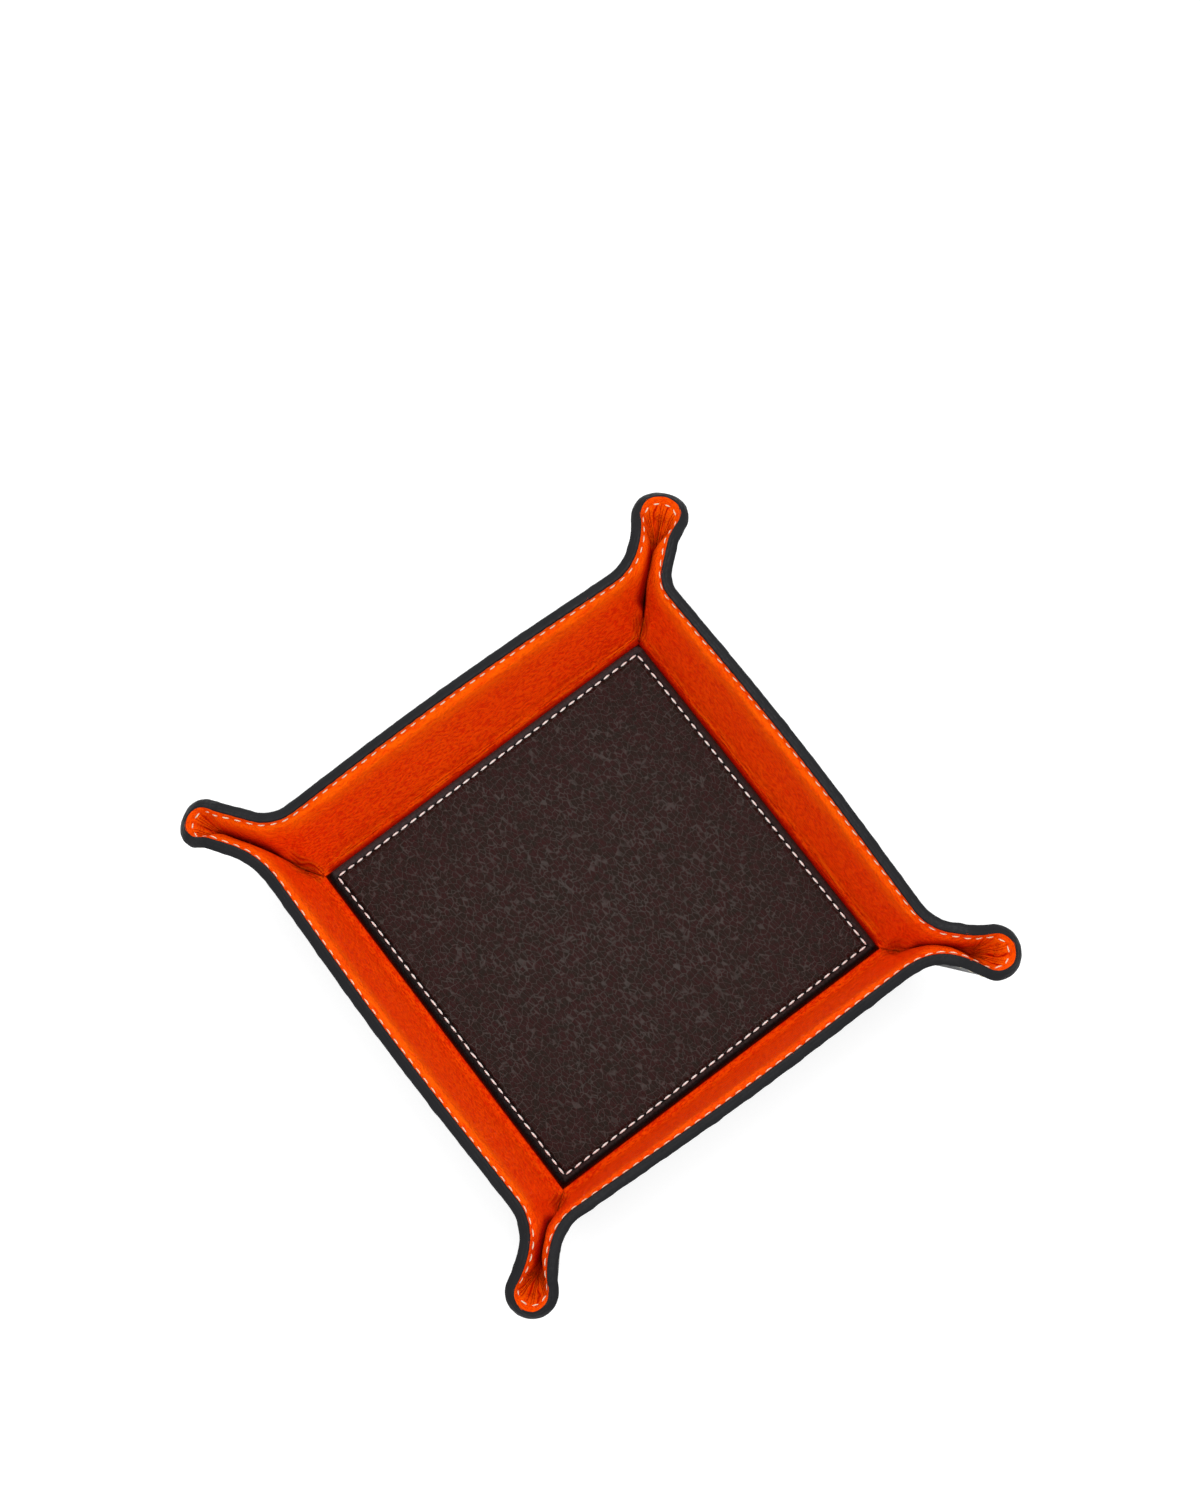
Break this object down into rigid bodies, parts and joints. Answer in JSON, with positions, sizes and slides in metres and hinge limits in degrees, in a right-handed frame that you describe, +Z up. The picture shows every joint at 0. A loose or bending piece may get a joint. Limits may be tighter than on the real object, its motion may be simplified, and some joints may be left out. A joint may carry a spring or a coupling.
{
  "type": "leather valet tray",
  "caption": "Square leather tray with a stitched pad on its floor, four leaning walls and each corner pinched into an open ear.",
  "frame": {"origin": "on the flat underside, below the middle of the square floor", "axes": "+Z up out of the tray's mouth, +X and +Y square to two neighbouring walls, with an ear on each diagonal"},
  "size_m": [0.2065, 0.2046, 0.0401],
  "materials": {
    "outer_leather": "smooth black leather with a satin painted edge",
    "lining_leather": "soft orange leather with a fine wavy grain",
    "pad_leather": "dark brown pebbled leather, satin",
    "board": "grey bonded fibre board, matt",
    "core": "dark felt, matt",
    "thread": "waxed cream thread",
    "hidden_thread": "orange thread"
  },
  "bodies": {
    "root": {"outer_shell": "outer_leather", "lining": "lining_leather", "base_board": "board", "wall_stiffener_1": "board", "wall_stiffener_2": "board", "wall_stiffener_3": "board", "wall_stiffener_4": "board", "pad_cover": "pad_leather", "pad_core": "core", "pad_stitching": "thread", "rim_stitching_inside": "thread", "rim_stitching_outside": "thread", "corner_tack_1": "hidden_thread", "corner_tack_2": "hidden_thread", "corner_tack_3": "hidden_thread", "corner_tack_4": "hidden_thread"}
  },
  "joints": []
}
